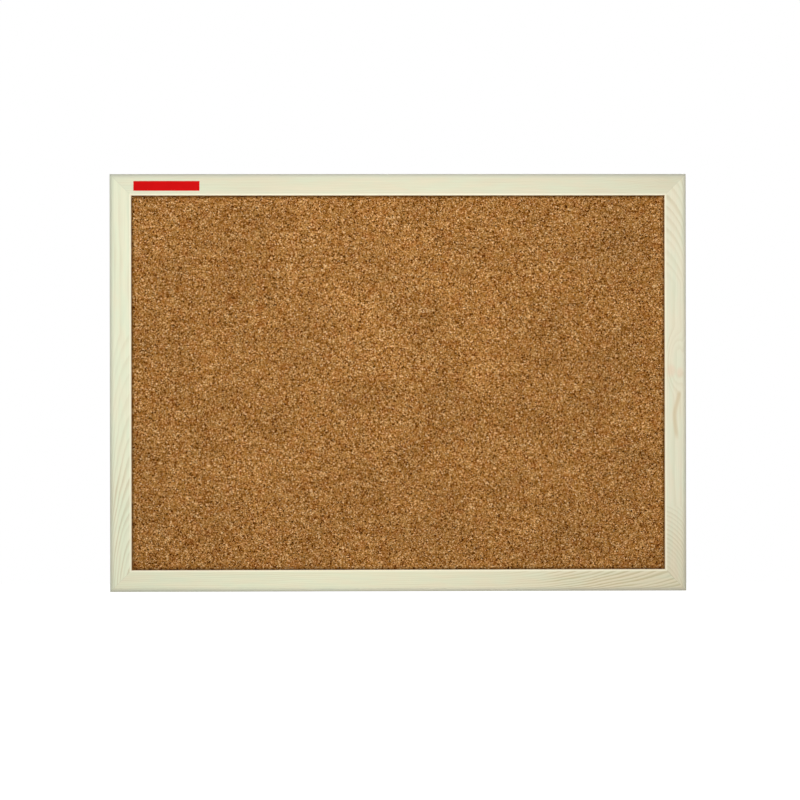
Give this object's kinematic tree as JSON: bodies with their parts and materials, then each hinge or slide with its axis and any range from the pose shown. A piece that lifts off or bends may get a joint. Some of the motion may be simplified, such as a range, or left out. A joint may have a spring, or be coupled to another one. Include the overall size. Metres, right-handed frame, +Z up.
{
  "type": "cork bulletin board",
  "caption": "Wall bulletin board: mitred pine frame around a recessed cork sheet on softboard and hardboard, with folding ring hangers and bumpers behind.",
  "frame": {"origin": "middle of the board's width and height, on the wall plane that the rear bumpers touch", "axes": "+X to the right seen from the front, +Z up, +Y into the wall; the cork faces -Y"},
  "size_m": [0.7, 0.0192, 0.507],
  "materials": {
    "pine": "bare planed softwood, satin",
    "cork": "agglomerated cork, matt",
    "softboard": "soft fibreboard, matt",
    "hardboard": "hardboard, screen side out, matt",
    "zinc_steel": "bright zinc plate",
    "rubber": "matt",
    "label_film": "glossy self-adhesive film"
  },
  "bodies": {
    "board": {"bottom_rail": "pine", "bumper_left": "rubber", "bumper_right": "rubber", "cork_sheet": "cork", "corner_nails_bottom_left": "zinc_steel", "corner_nails_bottom_right": "zinc_steel", "corner_nails_top_left": "zinc_steel", "corner_nails_top_right": "zinc_steel", "front_label": "label_film", "hanger_screw_left": "zinc_steel", "hanger_screw_right": "zinc_steel", "hanger_strap_left": "zinc_steel", "hanger_strap_right": "zinc_steel", "hardboard_back": "hardboard", "left_stile": "pine", "panel_points_bottom": "zinc_steel", "panel_points_left": "zinc_steel", "panel_points_right": "zinc_steel", "panel_points_top": "zinc_steel", "right_stile": "pine", "softboard_core": "softboard", "top_rail": "pine"},
    "ring_left": {"hanger_ring_left": "zinc_steel"},
    "ring_right": {"hanger_ring_right": "zinc_steel"}
  },
  "joints": [
    {"name": "left_ring_hinge", "type": "hinge", "parent": "board", "child": "ring_left", "pos_m": [-0.33975, -0.00215, 0.1535], "axis": [1, 0, 0], "range_deg": [0, 178.4]},
    {"name": "right_ring_hinge", "type": "hinge", "parent": "board", "child": "ring_right", "pos_m": [0.33975, -0.00215, 0.1535], "axis": [1, 0, 0], "range_deg": [0, 178.4]}
  ]
}
